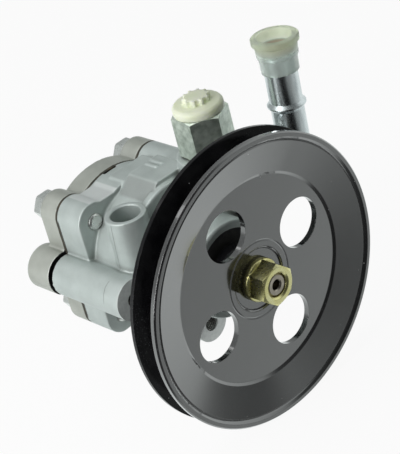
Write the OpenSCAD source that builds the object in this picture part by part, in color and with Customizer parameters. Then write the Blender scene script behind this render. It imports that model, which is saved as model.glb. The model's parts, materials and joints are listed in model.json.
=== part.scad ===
// Vane-type power steering pump with a single V-groove pressed-steel pulley.
// Millimetres. The shaft runs along Y, the pulley is at the front (low Y), Z points up along the pressure union.
// The origin lies on the shaft axis in the middle plane of the belt groove.

/* [Pulley] */
// Outside diameter of the pulley rims
pulley_d = 140; // [136:1:150]
// Width over both rims
pulley_w = 16.7; // [16:0.1:19]
// Thickness of the pressed sheet
sheet_t = 3; // [2.4:0.1:3.2]
// Diameter of the step between the conical flank and the flat web
step_d = 101.5; // [100:0.5:104]
// Depth of the web's front face behind the front rim
web_y = 6.1; // [5.5:0.1:6.4]
// Number of round holes in the web
web_hole_n = 4; // [3:1:5]
// Diameter of the holes in the web
web_hole_d = 24.4; // [18:0.2:25]
// Pitch circle of the holes in the web
web_hole_pcd = 66.3; // [65:0.1:67]
// Angle of the first hole, from +X towards +Z
web_hole_a = 22.5; // [0:0.5:90]
// Outside diameter of the turned hub
hub_d = 30; // [28:0.5:31]

/* [Shaft] */
// Shaft diameter in the bearing and the seal
shaft_d = 17; // [16.5:0.1:17.5]
// Shaft diameter in the pulley hub
seat_d = 15; // [14:0.1:15.5]
// Thread diameter at the front end
thread_d = 11.6; // [10:0.2:12]
// Rear journal diameter
journal_d = 14; // [13:0.1:14.2]
// Number of spline teeth under the rotor
spline_n = 12; // [8:1:14]
// Nut size across flats
nut_af = 18; // [17:0.5:20]
// Turn of the nut about the shaft
nut_turn = 43; // [0:1:60]

/* [Body] */
// Distance of the body joint behind the front rim
joint_y = 99; // [98:0.5:102]
// Thickness of the joint gasket
gasket_t = 0.7; // [0.4:0.1:1]
// Body diameter ahead of the lugs
body_d = 68; // [67:0.5:69]
// Body diameter at the joint
flange_d = 72.6; // [71:0.2:74]
// Side of the square of the four cover bolts
bolt_sq = 53.2; // [52.8:0.2:55]
// Diameter of the round bolt lugs
lug_d = 19.6; // [18:0.2:21]
// Length of the lugs ahead of the joint
lug_len = 16.7; // [15:0.1:18]
// Diameter of the bearing nose
nose_d = 48; // [47:0.5:50]
// Distance of the nose face behind the front rim
nose_y = 24; // [23.6:0.1:24.4]
// Distance of the front mounting face behind the front rim
mount_y = 50; // [49:0.5:51]
// Distance of the mounting holes from the shaft
mount_r = 39.4; // [38:0.2:41]
// Diameter of the mounting bosses
mount_d = 21.2; // [19:0.2:22]
// Thread diameter of bolts and mounting holes
bolt_d = 8; // [7:0.5:8.5]
// Gap between the mounting boss of the body and that of the cover
boss_gap = 2.2; // [1:0.1:3]

/* [Side port] */
// Position of the upright port across the pump
port_x = -24; // [-25:0.5:-23]
// Position of the upright port along the pump
port_y = 60.1; // [59:0.1:61]
// Height of the port face above the shaft
port_z = 35.7; // [35:0.1:38]
// Outside diameter of the port boss
port_d = 20.2; // [19:0.2:21]
// Bore of the port
port_bore = 14.6; // [12:0.2:15]

/* [Cover] */
// Thickness of the cover's bolt lugs
cover_lug_t = 12; // [11:0.5:13]
// Height of the cover over the gasket
cover_h = 16.2; // [15.6:0.1:18]
// Step of the cover's barrel inside the joint flange
cover_step = 0.6; // [0:0.1:2]

/* [Pump set] */
// Diameter of the pump chamber
chamber_d = 59; // [58.4:0.2:59.4]
// Smallest radius of the cam ring
cam_min = 21.3; // [21.2:0.1:21.6]
// Rise of the cam ring from smallest to largest radius
cam_rise = 2.5; // [1.5:0.1:2.8]
// Width of the cam ring
cam_w = 20; // [19:0.1:20.4]
// Thickness of the front side plate
plate_t = 5; // [4.6:0.1:5.4]
// Number of vanes
vane_n = 10; // [8:2:10]
// Thickness of a vane
vane_t = 1.8; // [1.2:0.1:2]
// Radial length of a vane
vane_l = 8; // [7.4:0.1:8.2]

/* [Bearing] */
// Outside diameter of the ball bearing
bearing_d = 40; // [39.8:0.1:40.4]
// Width of the ball bearing
bearing_w = 12; // [11:0.1:12.2]
// Number of balls
ball_n = 8; // [6:1:8]
// Ball diameter
ball_d = 6.74; // [6:0.02:6.8]

/* [Pressure side] */
// Position of the union and the valve bore across the pump
union_x = 26; // [25.5:0.1:26.5]
// Position of the union and the valve bore along the pump
union_y = 51; // [50.6:0.1:51.4]
// Height of the face under the union
union_z = 44; // [43:0.5:46]
// Union size across flats
union_af = 24; // [22:0.5:25]
// Height of the union's hexagon
union_h = 21.5; // [19:0.5:23]
// Turn of the union's hexagon
union_turn = 25; // [0:1:60]
// Bore of the flow control valve
valve_d = 16; // [15:0.1:16.4]
// Bore of the pressure port at its mouth
press_bore = 14; // [12:0.2:14.4]
// Depth of the mouth down to the seat of the hose fitting
press_mouth = 9.3; // [9.3:0.1:11]
// Step in radius from the mouth to the seat
press_step = 0.5; // [0.4:0.1:1]

/* [Suction side] */
// Outside diameter of the suction pipe
pipe_d = 16; // [15:0.1:16.4]
// Wall of the suction pipe
pipe_wall = 1.5; // [1:0.1:2]
// Position of the suction bore along the pump
pipe_y = 32; // [31.6:0.1:32.4]
// Height of the suction bore above the shaft
pipe_z = 20; // [19:0.5:21]
// Distance of the upright pipe from the shaft at the bend
pipe_x = 62.1; // [61:0.1:64]
// Lean of the upright pipe away from the pump
pipe_lean = 2.7; // [0:0.1:4]
// Length of the straight upright pipe
pipe_len = 47; // [42:1:58]
// Length of the reduced lead at the pipe's end
lead_len = 10.8; // [10.8:0.2:13]
// Step in radius from the pipe to its lead
lead_step = 0.2; // [0.1:0.1:0.5]

/* [Clearances] */
// Radial running clearance of turned fits
run = 0.03; // [0.02:0.01:0.05]
// Side clearance of sliding flat parts
slide = 0.03; // [0.02:0.01:0.05]

/* [Hidden] */
$fn = 96;

pulley_r = pulley_d / 2;
step_r = step_d / 2;
web_back = web_y + sheet_t;
hub_r = hub_d / 2;
hub_y = web_y + 1;
hub_end = nose_y - 1.5;
belt_y = pulley_w / 2;
shaft_r = shaft_d / 2;
seat_r = seat_d / 2;
thread_r = thread_d / 2;
journal_r = journal_d / 2;
nut_front = -6;

face_y = joint_y - gasket_t / 2;
cover_y = joint_y + gasket_t / 2;
body_r = body_d / 2;
flange_r = flange_d / 2;
bp = bolt_sq / 2;
lug_r = lug_d / 2;
lug_y = face_y - lug_len;
nose_r = nose_d / 2;
mount_br = mount_d / 2;
bolt_r = bolt_d / 2;
bolt_fr = bolt_r + 4.4;
body_y = 59;
flat_x = bp + lug_r;
cover_end = cover_y + cover_h;
head_y = cover_y + cover_lug_t;
barrel_r = flange_r - cover_step;

chamber_r = chamber_d / 2;
set_r = chamber_r - run;
floor_y = face_y - 35.65;
cam_y = floor_y + plate_t + 0.02;
cam_end = cam_y + cam_w;
rear_plate_y = cam_end + 0.02;
rear_plate_end = cover_y - 2.85;
port_a = 12.5;
cam_a = port_a + 45;
rotor_r = cam_min - 0.3;
slot_r = rotor_r - vane_l - 0.35;
vane_tip = rotor_r - 0.05;
pin_r = 1.6;
pin_at = (cam_min + set_r) / 2;
spline_r = shaft_r - 0.2;
spline_root = spline_r - 0.9;
spline_w = 2;

bearing_r = bearing_d / 2;
bearing_y = nose_y + 8.4;
bearing_mid = bearing_y + bearing_w / 2;
ball_r = ball_d / 2;
pitch_r = (bearing_r + shaft_r) / 2;
seal_y = nose_y + 0.6;
seal_end = seal_y + 6;

valve_r = valve_d / 2;
valve_top = union_z - 14;
valve_bottom = -18;
spool_z = 0;
spool_len = 20.4;
gallery_z = pipe_z - 8;
pipe_flange_r = 12;
union_stem_r = valve_r + 1;
union_top = union_z + union_h;
press_r = press_bore / 2;
seat_bore_r = press_r - press_step;
pipe_r = pipe_d / 2;
lead_r = pipe_r - lead_step;
cap_skirt = lead_len - 0.2;
bend_r = 15.5;
flange_x = 42;
pipe_flange_t = 4;
pipe_in = 12;
pipe_bolt_z = pipe_z + 20;

// Solid along Y from y0 to y1 with an outline in X and Z
module along_y(y0, y1) {
  translate([0, y1, 0])
    rotate([90, 0, 0])
      linear_extrude(height = y1 - y0)
        children();
}

// Round bar along Y
module rod_y(x, z, r, y0, y1) {
  translate([x, y0, z])
    rotate([-90, 0, 0])
      cylinder(r = r, h = y1 - y0);
}

// Round bar along X
module rod_x(y, z, r, x0, x1) {
  translate([x0, y, z])
    rotate([0, 90, 0])
      cylinder(r = r, h = x1 - x0);
}

// Round bar along Z
module rod_z(x, y, r, z0, z1) {
  translate([x, y, z0])
    cylinder(r = r, h = z1 - z0);
}

// Turned shape about the shaft from points of radius and Y
module turned(pts) {
  rotate([-90, 0, 0])
    rotate_extrude()
      polygon(pts);
}

// Children placed at the four cover bolts
module at_bolts() {
  for (sx = [-1, 1])
    for (sz = [-1, 1])
      translate([sx * bp, 0, sz * bp])
        children();
}

// Child turned about the shaft by an angle from +X towards +Z
module about_shaft(a) {
  rotate([0, -a, 0])
    children();
}

// Outline shared by the body, the gasket and the cover at their joint
module joint_outline(inset) {
  circle(r = flange_r - inset);
  for (sx = [-1, 1])
    for (sz = [-1, 1])
      translate([sx * bp, sz * bp])
        circle(r = lug_r - inset);
  translate([-flat_x + inset, -bp])
    square([flat_x - inset, 2 * bp]);
}

// Frame of the part: the belt groove's middle plane at Y = 0
module placed() {
  translate([0, -belt_y, 0])
    children();
}

// Radius of the cam ring at an angle from its long axis
function cam_radius(a) = cam_min + cam_rise / 2 + cam_rise / 2 * cos(2 * a);

module front_housing() {
  color([0.72, 0.74, 0.73])
    difference() {
      union() {
        // body, joint flange with its lugs, and bearing nose
        rod_y(0, 0, body_r, body_y, face_y);
        along_y(lug_y, face_y)
          joint_outline(0);
        turned([[0, nose_y], [nose_r - 1, nose_y], [nose_r, nose_y + 1], [nose_r, body_y + 1], [0, body_y + 1]]);
        // long lug towards the union
        rod_y(bp, bp, lug_r, union_y + 12, face_y);
        // left mounting boss and its web
        rod_y(-mount_r, 0, mount_br, mount_y, joint_y - boss_gap + gasket_t);
        along_y(mount_y + 2, lug_y + 1)
          translate([-mount_r, -mount_br + 1.5])
            square([mount_r - 10, 2 * mount_br - 3]);
        // lower mounting ear
        rod_y(0, -mount_r, mount_br - 1, mount_y, body_y + 5);
        along_y(mount_y, body_y + 5)
          translate([-mount_br + 1, -mount_r])
            square([2 * mount_br - 2, mount_r - 10]);
        // upright port boss
        rod_z(port_x, port_y, port_d / 2, 0, port_z);
        // flat pad on the upper left lug
        along_y(lug_y, face_y - 1)
          translate([-bp, bp - 10])
            square([bp - 10, lug_r + 8]);
        // raised plateau on the top with two short ribs
        along_y(body_y + 1, face_y - 18)
          polygon([[-1.7, 39.5], [-9.9, 32.4], [-9.9, 20], [bp - 8.7, 20], [bp - 8.7, 39.5]]);
        // lower flat between the plateau and the joint
        along_y(face_y - 18.5, face_y - 6.4)
          polygon([[-4.5, flange_r + 0.5], [-7.6, 33.6], [-7.6, 20], [bp - 8.7, 20], [bp - 8.7, flange_r + 0.5]]);
        for (x = [8, 11.6])
          translate([x, 71, 39])
            cube([1.6, 8, 1.1]);
        // block of the flow control valve with the seat of the union
        rod_z(union_x, union_y, 16, valve_bottom - 6, union_z);
        translate([-9, union_y - 8, -12])
          cube([union_x + 9, 16, 40]);
        // suction boss and the boss of its bolt
        rod_x(pipe_y, pipe_z, pipe_flange_r + 0.4, 20, flange_x);
        rod_x(pipe_y, pipe_bolt_z, 8, 20, flange_x);
        translate([20, pipe_y - 8, pipe_z])
          cube([flange_x - 20, 16, pipe_bolt_z - pipe_z]);
      }
      // bearing bore, ring groove, seal bore and shaft passage
      rod_y(0, 0, bearing_r, nose_y - 1, bearing_y + bearing_w);
      rod_y(0, 0, bearing_r + 1.3, bearing_y - 1.65, bearing_y - 0.05);
      rod_y(0, 0, shaft_r + 0.6, bearing_y, floor_y + 1);
      // pump chamber with its suction ring in the floor
      rod_y(0, 0, chamber_r, floor_y, face_y + 1);
      turned([[24, floor_y - 2], [28.5, floor_y - 2], [28.5, floor_y + 1], [24, floor_y + 1]]);
      for (s = [0, 180])
        about_shaft(cam_a + 90 + s)
          rod_y(pin_at, 0, pin_r, floor_y - 3, floor_y + 1);
      // pry slot at the top of the joint
      translate([-3.6, face_y - 1.6, flange_r - 2.7])
        cube([8.4, 3, 10]);
      // threaded holes of the cover bolts and of the mounts
      at_bolts()
        rod_y(0, 0, bolt_r, lug_y - 3, face_y + 1);
      rod_y(-mount_r, 0, bolt_r, mount_y - 1, mount_y + 24);
      rod_y(0, -mount_r, bolt_r, mount_y - 1, body_y + 6);
      // upright port
      rod_z(port_x, port_y, port_bore / 2, port_z - 9.7, port_z + 1);
      // valve bore, union thread and galleries
      rod_z(union_x, union_y, valve_r, valve_bottom, union_z);
      rod_z(union_x, union_y, union_stem_r, valve_top, union_z + 1);
      rod_y(union_x - 2, gallery_z, 4, pipe_y, floor_y + 0.5);
      rod_y(-5.2, 23.4, 2.5, union_y - 2.5, floor_y + 0.5);
      rod_x(union_y, 23.4, 2.5, -5.2, union_x);
      // suction bore and the thread of the flange bolt
      rod_x(pipe_y, pipe_z, pipe_r + 0.2, bearing_r + 3, flange_x + 1);
      rod_x(pipe_y, pipe_bolt_z, 3, flange_x - 14, flange_x + 1);
    }
}

module rear_cover() {
  color([0.70, 0.71, 0.68])
    difference() {
      union() {
        turned([
          [0, cover_y], [flange_r, cover_y], [flange_r, cover_y + 5], [barrel_r, cover_end - 4.6],
          [barrel_r - 1.4, cover_end - 1.6], [barrel_r - 4.4, cover_end], [0, cover_end]
        ]);
        along_y(cover_y, head_y)
          joint_outline(0);
        rod_y(-mount_r, 0, mount_br + 0.5, cover_y + 0.4, head_y + 4.2);
        along_y(cover_y + 0.4, head_y + 1)
          translate([-mount_r, -mount_br + 1.5])
            square([mount_r - 10, 2 * mount_br - 3]);
      }
      // bore of the rear bush
      rod_y(0, 0, journal_r + 1.5, cover_y - 1, cover_end - 3.5);
      // clearance holes and spot faces of the bolts
      at_bolts() {
        rod_y(0, 0, bolt_r + 0.4, cover_y - 1, head_y + 1);
        rod_y(0, 0, bolt_fr + 0.4, head_y, cover_end + 1);
      }
      rod_y(-mount_r, 0, bolt_r, head_y - 8, head_y + 5);
    }
}

module joint_gasket() {
  color([0.10, 0.10, 0.09])
    difference() {
      along_y(face_y, cover_y)
        joint_outline(0.35);
      rod_y(0, 0, chamber_r + 0.2, face_y - 1, cover_y + 1);
      at_bolts()
        rod_y(0, 0, bolt_r + 0.4, face_y - 1, cover_y + 1);
    }
}

module cover_bolts() {
  color([0.78, 0.78, 0.76])
    at_bolts() {
      turned([
        [0, lug_y - 1.2], [bolt_r - 0.8, lug_y - 1.2], [bolt_r, lug_y - 0.4],
        [bolt_r, head_y + 0.5], [0, head_y + 0.5]
      ]);
      translate([0, head_y, 0])
        rotate([-90, 0, 0]) {
          cylinder(r = bolt_fr, h = 1.6);
          intersection() {
            cylinder(d = (1.625 * bolt_d) / cos(30), h = bolt_d, $fn = 6);
            cylinder(r1 = bolt_d + 8, r2 = bolt_d - 0.9, h = bolt_d);
          }
        }
    }
}

// Round-ended port through a side plate, on an arc about the shaft
module kidney(r, w, a, y0, y1) {
  for (k = [-1, 0, 1])
    about_shaft(a + k * 9)
      rod_y(r, 0, w / 2, y0, y1);
  for (k = [-0.5, 0.5])
    about_shaft(a + k * 9)
      translate([r - w / 2, y0, -r * sin(4.5)])
        cube([w * 0.995, y1 - y0, 2 * r * sin(4.5)]);
}

module front_side_plate() {
  color([0.62, 0.60, 0.55])
    difference() {
      rod_y(0, 0, set_r, floor_y, floor_y + plate_t);
      rod_y(0, 0, shaft_r + 0.6, floor_y - 1, floor_y + plate_t + 1);
      for (s = [0, 180]) {
        kidney(23.2, 4.6, port_a + s, floor_y - 1, floor_y + plate_t + 1);
        kidney(22.2, 2.6, port_a + 90 + s, floor_y - 1, floor_y + plate_t + 1);
        about_shaft(cam_a + 90 + s)
          rod_y(pin_at, 0, pin_r, floor_y - 1, floor_y + plate_t + 1);
      }
    }
}

module cam_ring() {
  color([0.45, 0.45, 0.46])
    difference() {
      rod_y(0, 0, set_r, cam_y, cam_end);
      along_y(cam_y - 1, cam_end + 1)
        rotate([0, 0, cam_a])
          polygon([for (i = [0 : 179]) [cam_radius(i * 2) * cos(i * 2), cam_radius(i * 2) * sin(i * 2)]]);
      for (s = [0, 180])
        about_shaft(cam_a + 90 + s)
          rod_y(pin_at, 0, pin_r, cam_y - 1, cam_end + 1);
    }
}

module rear_side_plate() {
  color([0.62, 0.60, 0.55])
    difference() {
      rod_y(0, 0, set_r, rear_plate_y, rear_plate_end);
      rod_y(0, 0, journal_r + 0.6, rear_plate_y - 1, rear_plate_end + 1);
      rod_y(0, 0, shaft_r + 2.6, rear_plate_y - 1, rear_plate_y + 2.4);
      // groove of the plate seal
      turned([
        [set_r - 1.9, rear_plate_y + 3], [set_r + 1, rear_plate_y + 3],
        [set_r + 1, rear_plate_y + 5.6], [set_r - 1.9, rear_plate_y + 5.6]
      ]);
      for (s = [0, 180]) {
        kidney(22.2, 2.6, port_a + 90 + s, rear_plate_y - 1, rear_plate_y + 2);
        about_shaft(cam_a + 90 + s)
          rod_y(pin_at, 0, pin_r, rear_plate_y - 1, rear_plate_y + 2.5);
      }
    }
}

module plate_seal() {
  color([0.08, 0.08, 0.08])
    turned([
      [set_r - 1.9, rear_plate_y + 3.2], [chamber_r - 0.3, rear_plate_y + 3.2], [chamber_r, rear_plate_y + 3.6],
      [chamber_r, rear_plate_y + 5], [chamber_r - 0.3, rear_plate_y + 5.4], [set_r - 1.9, rear_plate_y + 5.4]
    ]);
}

module spring_washer() {
  color([0.40, 0.41, 0.43])
    turned([
      [19, rear_plate_end], [27, cover_y - 1.2], [27, cover_y], [19, rear_plate_end + 1.2]
    ]);
}

module dowel_pins() {
  color([0.66, 0.66, 0.68])
    for (s = [0, 180])
      about_shaft(cam_a + 90 + s)
        rod_y(pin_at, 0, pin_r, floor_y - 2.8, rear_plate_y + 2.3);
}

// Spline teeth, grown by a clearance
module spline(grow, y0, y1) {
  rod_y(0, 0, spline_root + grow, y0, y1);
  for (i = [0 : spline_n - 1])
    about_shaft(i * 360 / spline_n)
      intersection() {
        translate([0, y0, -spline_w / 2 - grow])
          cube([shaft_r + 1, y1 - y0, spline_w + 2 * grow]);
        rod_y(0, 0, spline_r + grow, y0, y1);
      }
}

module drive_shaft() {
  color([0.62, 0.58, 0.52])
    difference() {
      union() {
        turned([
          [0, nut_front + 1], [thread_r - 1, nut_front + 1], [thread_r, nut_front + 2], [thread_r, hub_y],
          [seat_r, hub_y], [seat_r, hub_end], [shaft_r, hub_end], [shaft_r, cam_y - 2],
          [spline_root, cam_y - 2], [spline_root, cam_y], [0, cam_y]
        ]);
        spline(0, cam_y - 2, cam_end + 0.1);
        turned([
          [0, cam_end], [spline_root, cam_end], [spline_root, cam_end + 2.4], [journal_r, cam_end + 2.4],
          [journal_r, cover_end - 5.5], [journal_r - 1, cover_end - 4.5], [0, cover_end - 4.5]
        ]);
      }
      // centre hole in the front end
      rotate([-90, 0, 0])
        translate([0, 0, nut_front]) {
          cylinder(r1 = 4, r2 = 2.4, h = 1.6);
          cylinder(r = 2.4, h = 8);
        }
      // groove of the rotor ring
      difference() {
        rod_y(0, 0, shaft_r + 1, cam_end + 0.4, cam_end + 1.6);
        rod_y(0, 0, journal_r - 0.6, cam_end, cam_end + 2);
      }
      // seat of the key
      translate([0, hub_y + 9, seat_r - 1.5])
        rotate([0, 90, 0])
          cylinder(r = 5, h = 4, center = true);
    }
}

module rotor() {
  color([0.50, 0.50, 0.52])
    difference() {
      rod_y(0, 0, rotor_r, cam_y + 0.05, cam_end - 0.05);
      spline(0, cam_y - 1, cam_end + 1);
      for (i = [0 : vane_n - 1])
        about_shaft(cam_a + i * 360 / vane_n) {
          translate([slot_r, cam_y - 1, -vane_t / 2 - slide])
            cube([rotor_r, cam_w + 2, vane_t + 2 * slide]);
          rod_y(slot_r, 0, vane_t / 2 + 0.4, cam_y - 1, cam_end + 1);
        }
    }
}

module vane(i) {
  color([0.58, 0.57, 0.55])
    about_shaft(cam_a + (i - 1) * 360 / vane_n)
      translate([vane_tip - vane_l, cam_y + 0.05, -vane_t / 2])
        cube([vane_l, cam_w - 0.1, vane_t]);
}

module rotor_ring() {
  color([0.35, 0.35, 0.37])
    difference() {
      rod_y(0, 0, shaft_r + 1.8, cam_end + 0.4, cam_end + 1.6);
      rod_y(0, 0, journal_r - 0.6, cam_end, cam_end + 2);
      translate([0, cam_end, -1.5])
        cube([20, 2, 3]);
    }
}

module rear_bush() {
  color([0.66, 0.50, 0.28])
    difference() {
      rod_y(0, 0, journal_r + 1.5, cover_y + 0.3, cover_end - 5);
      rod_y(0, 0, journal_r + run, cover_y - 1, cover_end);
    }
}

// Section through a bearing ring with its ball groove
module race(r0, r1) {
  rotate([-90, 0, 0])
    rotate_extrude()
      difference() {
        translate([r0, bearing_y])
          square([r1 - r0, bearing_w]);
        translate([pitch_r, bearing_mid])
          circle(r = ball_r + run);
      }
}

module bearing_outer() {
  color([0.60, 0.61, 0.63])
    race(pitch_r + 2.4, bearing_r);
}

module bearing_inner() {
  color([0.60, 0.61, 0.63])
    race(shaft_r, pitch_r - 2.4);
}

module bearing_cage() {
  color([0.55, 0.50, 0.40])
    difference() {
      turned([
        [pitch_r - 0.8, bearing_mid - 4.6], [pitch_r + 0.8, bearing_mid - 4.6],
        [pitch_r + 0.8, bearing_mid + 4.6], [pitch_r - 0.8, bearing_mid + 4.6]
      ]);
      for (i = [0 : ball_n - 1])
        about_shaft(i * 360 / ball_n)
          rod_x(bearing_mid, 0, ball_r + run, pitch_r - 3, pitch_r + 3);
    }
}

module ball(i) {
  color([0.70, 0.71, 0.74])
    about_shaft((i - 1) * 360 / ball_n)
      translate([pitch_r, bearing_mid, 0])
        sphere(r = ball_r);
}

module bearing_ring() {
  color([0.30, 0.30, 0.32])
    difference() {
      rod_y(0, 0, bearing_r + 1.3, bearing_y - 1.6, bearing_y - 0.1);
      rod_y(0, 0, bearing_r - 2.2, bearing_y - 3, bearing_y + 1);
      translate([0, bearing_y - 3, -2.5])
        cube([bearing_r + 5, 5, 5]);
    }
}

module oil_seal() {
  color([0.07, 0.07, 0.07])
    turned([
      [shaft_r + run, seal_y + 3], [shaft_r + 1.4, seal_y + 0.6], [shaft_r + 2.2, seal_y],
      [bearing_r, seal_y], [bearing_r, seal_end], [bearing_r - 2, seal_end], [bearing_r - 2, seal_y + 2],
      [shaft_r + 3, seal_y + 2], [shaft_r + 2.6, seal_y + 5], [shaft_r + run, seal_y + 4]
    ]);
}

module pulley_front() {
  color([0.04, 0.04, 0.045])
    difference() {
      turned([
        [hub_r, web_y + 0.5], [hub_r + 0.5, web_y], [hub_r + 3.2, web_y], [hub_r + 3.7, web_y + 0.25],
        [hub_r + 4.2, web_y], [step_r - 1.4, web_y], [step_r, web_y - 1],
        // crease inside the rolled lip
        [pulley_r - 4.4, 1.1], [pulley_r - 3.9, 1.5], [pulley_r - 3.4, 0.9],
        [pulley_r - 2.4, 0], [pulley_r - 0.7, 0], [pulley_r, 0.7], [pulley_r, 2.6],
        [step_r + 4.5, web_back - 1.8], [step_r + 2.8, web_back], [hub_r, web_back]
      ]);
      for (i = [0 : web_hole_n - 1])
        about_shaft(web_hole_a + i * 360 / web_hole_n)
          rod_y(web_hole_pcd / 2, 0, web_hole_d / 2, web_y - 5, web_back + 5);
    }
}

module pulley_rear() {
  color([0.04, 0.04, 0.045])
    turned([
      [step_r + 0.5, web_back], [step_r + 2.8, web_back], [step_r + 4.5, web_back + 0.6],
      [pulley_r, pulley_w - 2.6], [pulley_r, pulley_w - 0.7], [pulley_r - 0.7, pulley_w],
      [pulley_r - 2.4, pulley_w], [pulley_r - 3.6, pulley_w - 0.9],
      [step_r + 3.2, web_back + sheet_t], [step_r + 0.5, web_back + sheet_t]
    ]);
}

module pulley_hub() {
  color([0.05, 0.05, 0.055])
    difference() {
      turned([
        [seat_r, hub_y], [hub_r, hub_y], [hub_r, web_back], [hub_r + 3.6, web_back],
        [hub_r + 3.6, web_back + 2], [hub_r + 2, web_back + 3.6], [hub_r - 0.6, web_back + 5],
        [hub_r - 1, hub_end], [seat_r, hub_end]
      ]);
      translate([-2, hub_y - 1, 0])
        cube([4, hub_end - hub_y + 2, seat_r + 2]);
    }
}

module woodruff_key() {
  color([0.48, 0.48, 0.50])
    intersection() {
      translate([0, hub_y + 9, seat_r - 1.5])
        rotate([0, 90, 0])
          cylinder(r = 5, h = 4, center = true);
      translate([-5, hub_y, 0])
        cube([10, 20, seat_r + 1.6]);
    }
}

module pulley_nut() {
  color([0.72, 0.60, 0.28])
    difference() {
      union() {
        turned([
          [0, hub_y - 2.2], [nut_af / 2 + 0.6, hub_y - 2.2], [nut_af / 2 + 1.3, hub_y - 1.5],
          [nut_af / 2 + 1.3, hub_y], [0, hub_y]
        ]);
        rotate([0, nut_turn, 0])
          translate([0, nut_front, 0])
            rotate([-90, 0, 0])
              intersection() {
                cylinder(d = nut_af / cos(30), h = hub_y - nut_front - 0.5, $fn = 6);
                cylinder(r1 = nut_af / 2 - 0.2, r2 = nut_af / 2 + 22, h = hub_y - nut_front - 0.5);
              }
      }
      rod_y(0, 0, thread_r, nut_front - 1, hub_y + 1);
      // countersunk mouth
      rotate([-90, 0, 0])
        translate([0, 0, nut_front - 0.01])
          cylinder(r1 = thread_r + 0.9, r2 = thread_r - 0.1, h = 1);
    }
}

module pressure_union() {
  color([0.66, 0.68, 0.66])
    difference() {
      union() {
        translate([union_x, union_y, union_z + 1])
          rotate([0, 0, union_turn])
            intersection() {
              cylinder(d = union_af / cos(30), h = union_h - 1, $fn = 6);
              cylinder(r1 = union_af / 2 + 40, r2 = union_af / 2 + 0.2, h = union_h - 1);
            }
        rod_z(union_x, union_y, union_af / 2 - 0.6, union_z, union_z + 2);
        rod_z(union_x, union_y, union_stem_r, valve_top + 0.5, union_z + 2);
      }
      rod_z(union_x, union_y, press_r, union_top - press_mouth, union_top + 1);
      rod_z(union_x, union_y, seat_bore_r, union_top - 15, union_top);
      rod_z(union_x, union_y, 3, valve_top - 1, union_top);
      // groove of the seal under the thread
      difference() {
        rod_z(union_x, union_y, union_stem_r + 1, valve_top + 2, valve_top + 4.4);
        rod_z(union_x, union_y, union_stem_r - 1.7, valve_top + 1, valve_top + 5);
      }
    }
}

module union_seal() {
  color([0.08, 0.08, 0.08])
    translate([union_x, union_y, valve_top + 3.2])
      rotate_extrude()
        polygon([
          [union_stem_r - 1.7, -1], [union_stem_r - 0.3, -1], [union_stem_r, -0.6],
          [union_stem_r, 0.6], [union_stem_r - 0.3, 1], [union_stem_r - 1.7, 1]
        ]);
}

module valve_spool() {
  color([0.68, 0.69, 0.71])
    difference() {
      translate([union_x, union_y, spool_z])
        rotate_extrude()
          polygon([
            [0, 0], [valve_r - 1, 0], [valve_r - run, 0.6], [valve_r - run, 6], [valve_r - 2.5, 6],
            [valve_r - 2.5, 17], [valve_r - run, 17], [valve_r - run, spool_len - 0.6],
            [valve_r - 0.8, spool_len], [0, spool_len]
          ]);
      // seat of the spring
      rod_z(union_x, union_y, valve_r - 1.6, spool_z - 1, spool_z + 5);
      // pressure sensing hole
      rod_z(union_x, union_y, 1.2, spool_z, spool_z + spool_len + 1);
    }
}

module valve_spring() {
  wire = 0.7;
  mean = valve_r - 2.6;
  turns = 6;
  z0 = valve_bottom + wire;
  z1 = spool_z + 5 - wire;
  pitch = (z1 - z0) / turns;
  half = 180 * 2 * wire / pitch;
  color([0.42, 0.43, 0.45])
    translate([union_x, union_y, z0 - wire])
      linear_extrude(height = z1 - z0 + 2 * wire, twist = -360 * (turns + 2 * wire / pitch), slices = 130, $fn = 12)
        polygon(concat(
          [for (k = [-3 : 3]) let (u = k / 3, r = mean + wire * sqrt(1 - u * u)) [r * cos(u * half), r * sin(u * half)]],
          [for (k = [2 : -1 : -2]) let (u = k / 3, r = mean - wire * sqrt(1 - u * u)) [r * cos(u * half), r * sin(u * half)]]
        ));
}

module pressure_plug() {
  color([0.90, 0.90, 0.80])
    difference() {
      union() {
        translate([union_x, union_y, union_top])
          rotate_extrude()
            polygon([
              [0, 0], [union_af / 2 + 0.3, 0], [union_af / 2 + 0.3, 3.4], [union_af / 2 - 0.9, 4.7],
              [union_af / 2 - 4, 5], [0, 5]
            ]);
        rod_z(union_x, union_y, press_r - 0.05, union_top - press_mouth + 0.3, union_top + 1);
        rod_z(union_x, union_y, 5.6, union_top + 4, union_top + 8);
        for (i = [0 : 9])
          translate([union_x, union_y, union_top + 4])
            rotate([0, 0, i * 36])
              translate([4, -0.8, 0])
                cube([2.8, 1.6, 4]);
      }
      rod_z(union_x, union_y, press_r - 2, union_top - 10, union_top + 3);
    }
}

// Section through the wall of the suction pipe
module pipe_section(r = pipe_r) {
  difference() {
    circle(r = r);
    circle(r = pipe_r - pipe_wall);
  }
}

// Frame on the upright pipe, Z along its axis from the end of the bend
module at_pipe() {
  translate([pipe_x - bend_r, pipe_y, pipe_z + bend_r])
    rotate([0, pipe_lean, 0])
      translate([bend_r, 0, 0])
        children();
}

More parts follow.
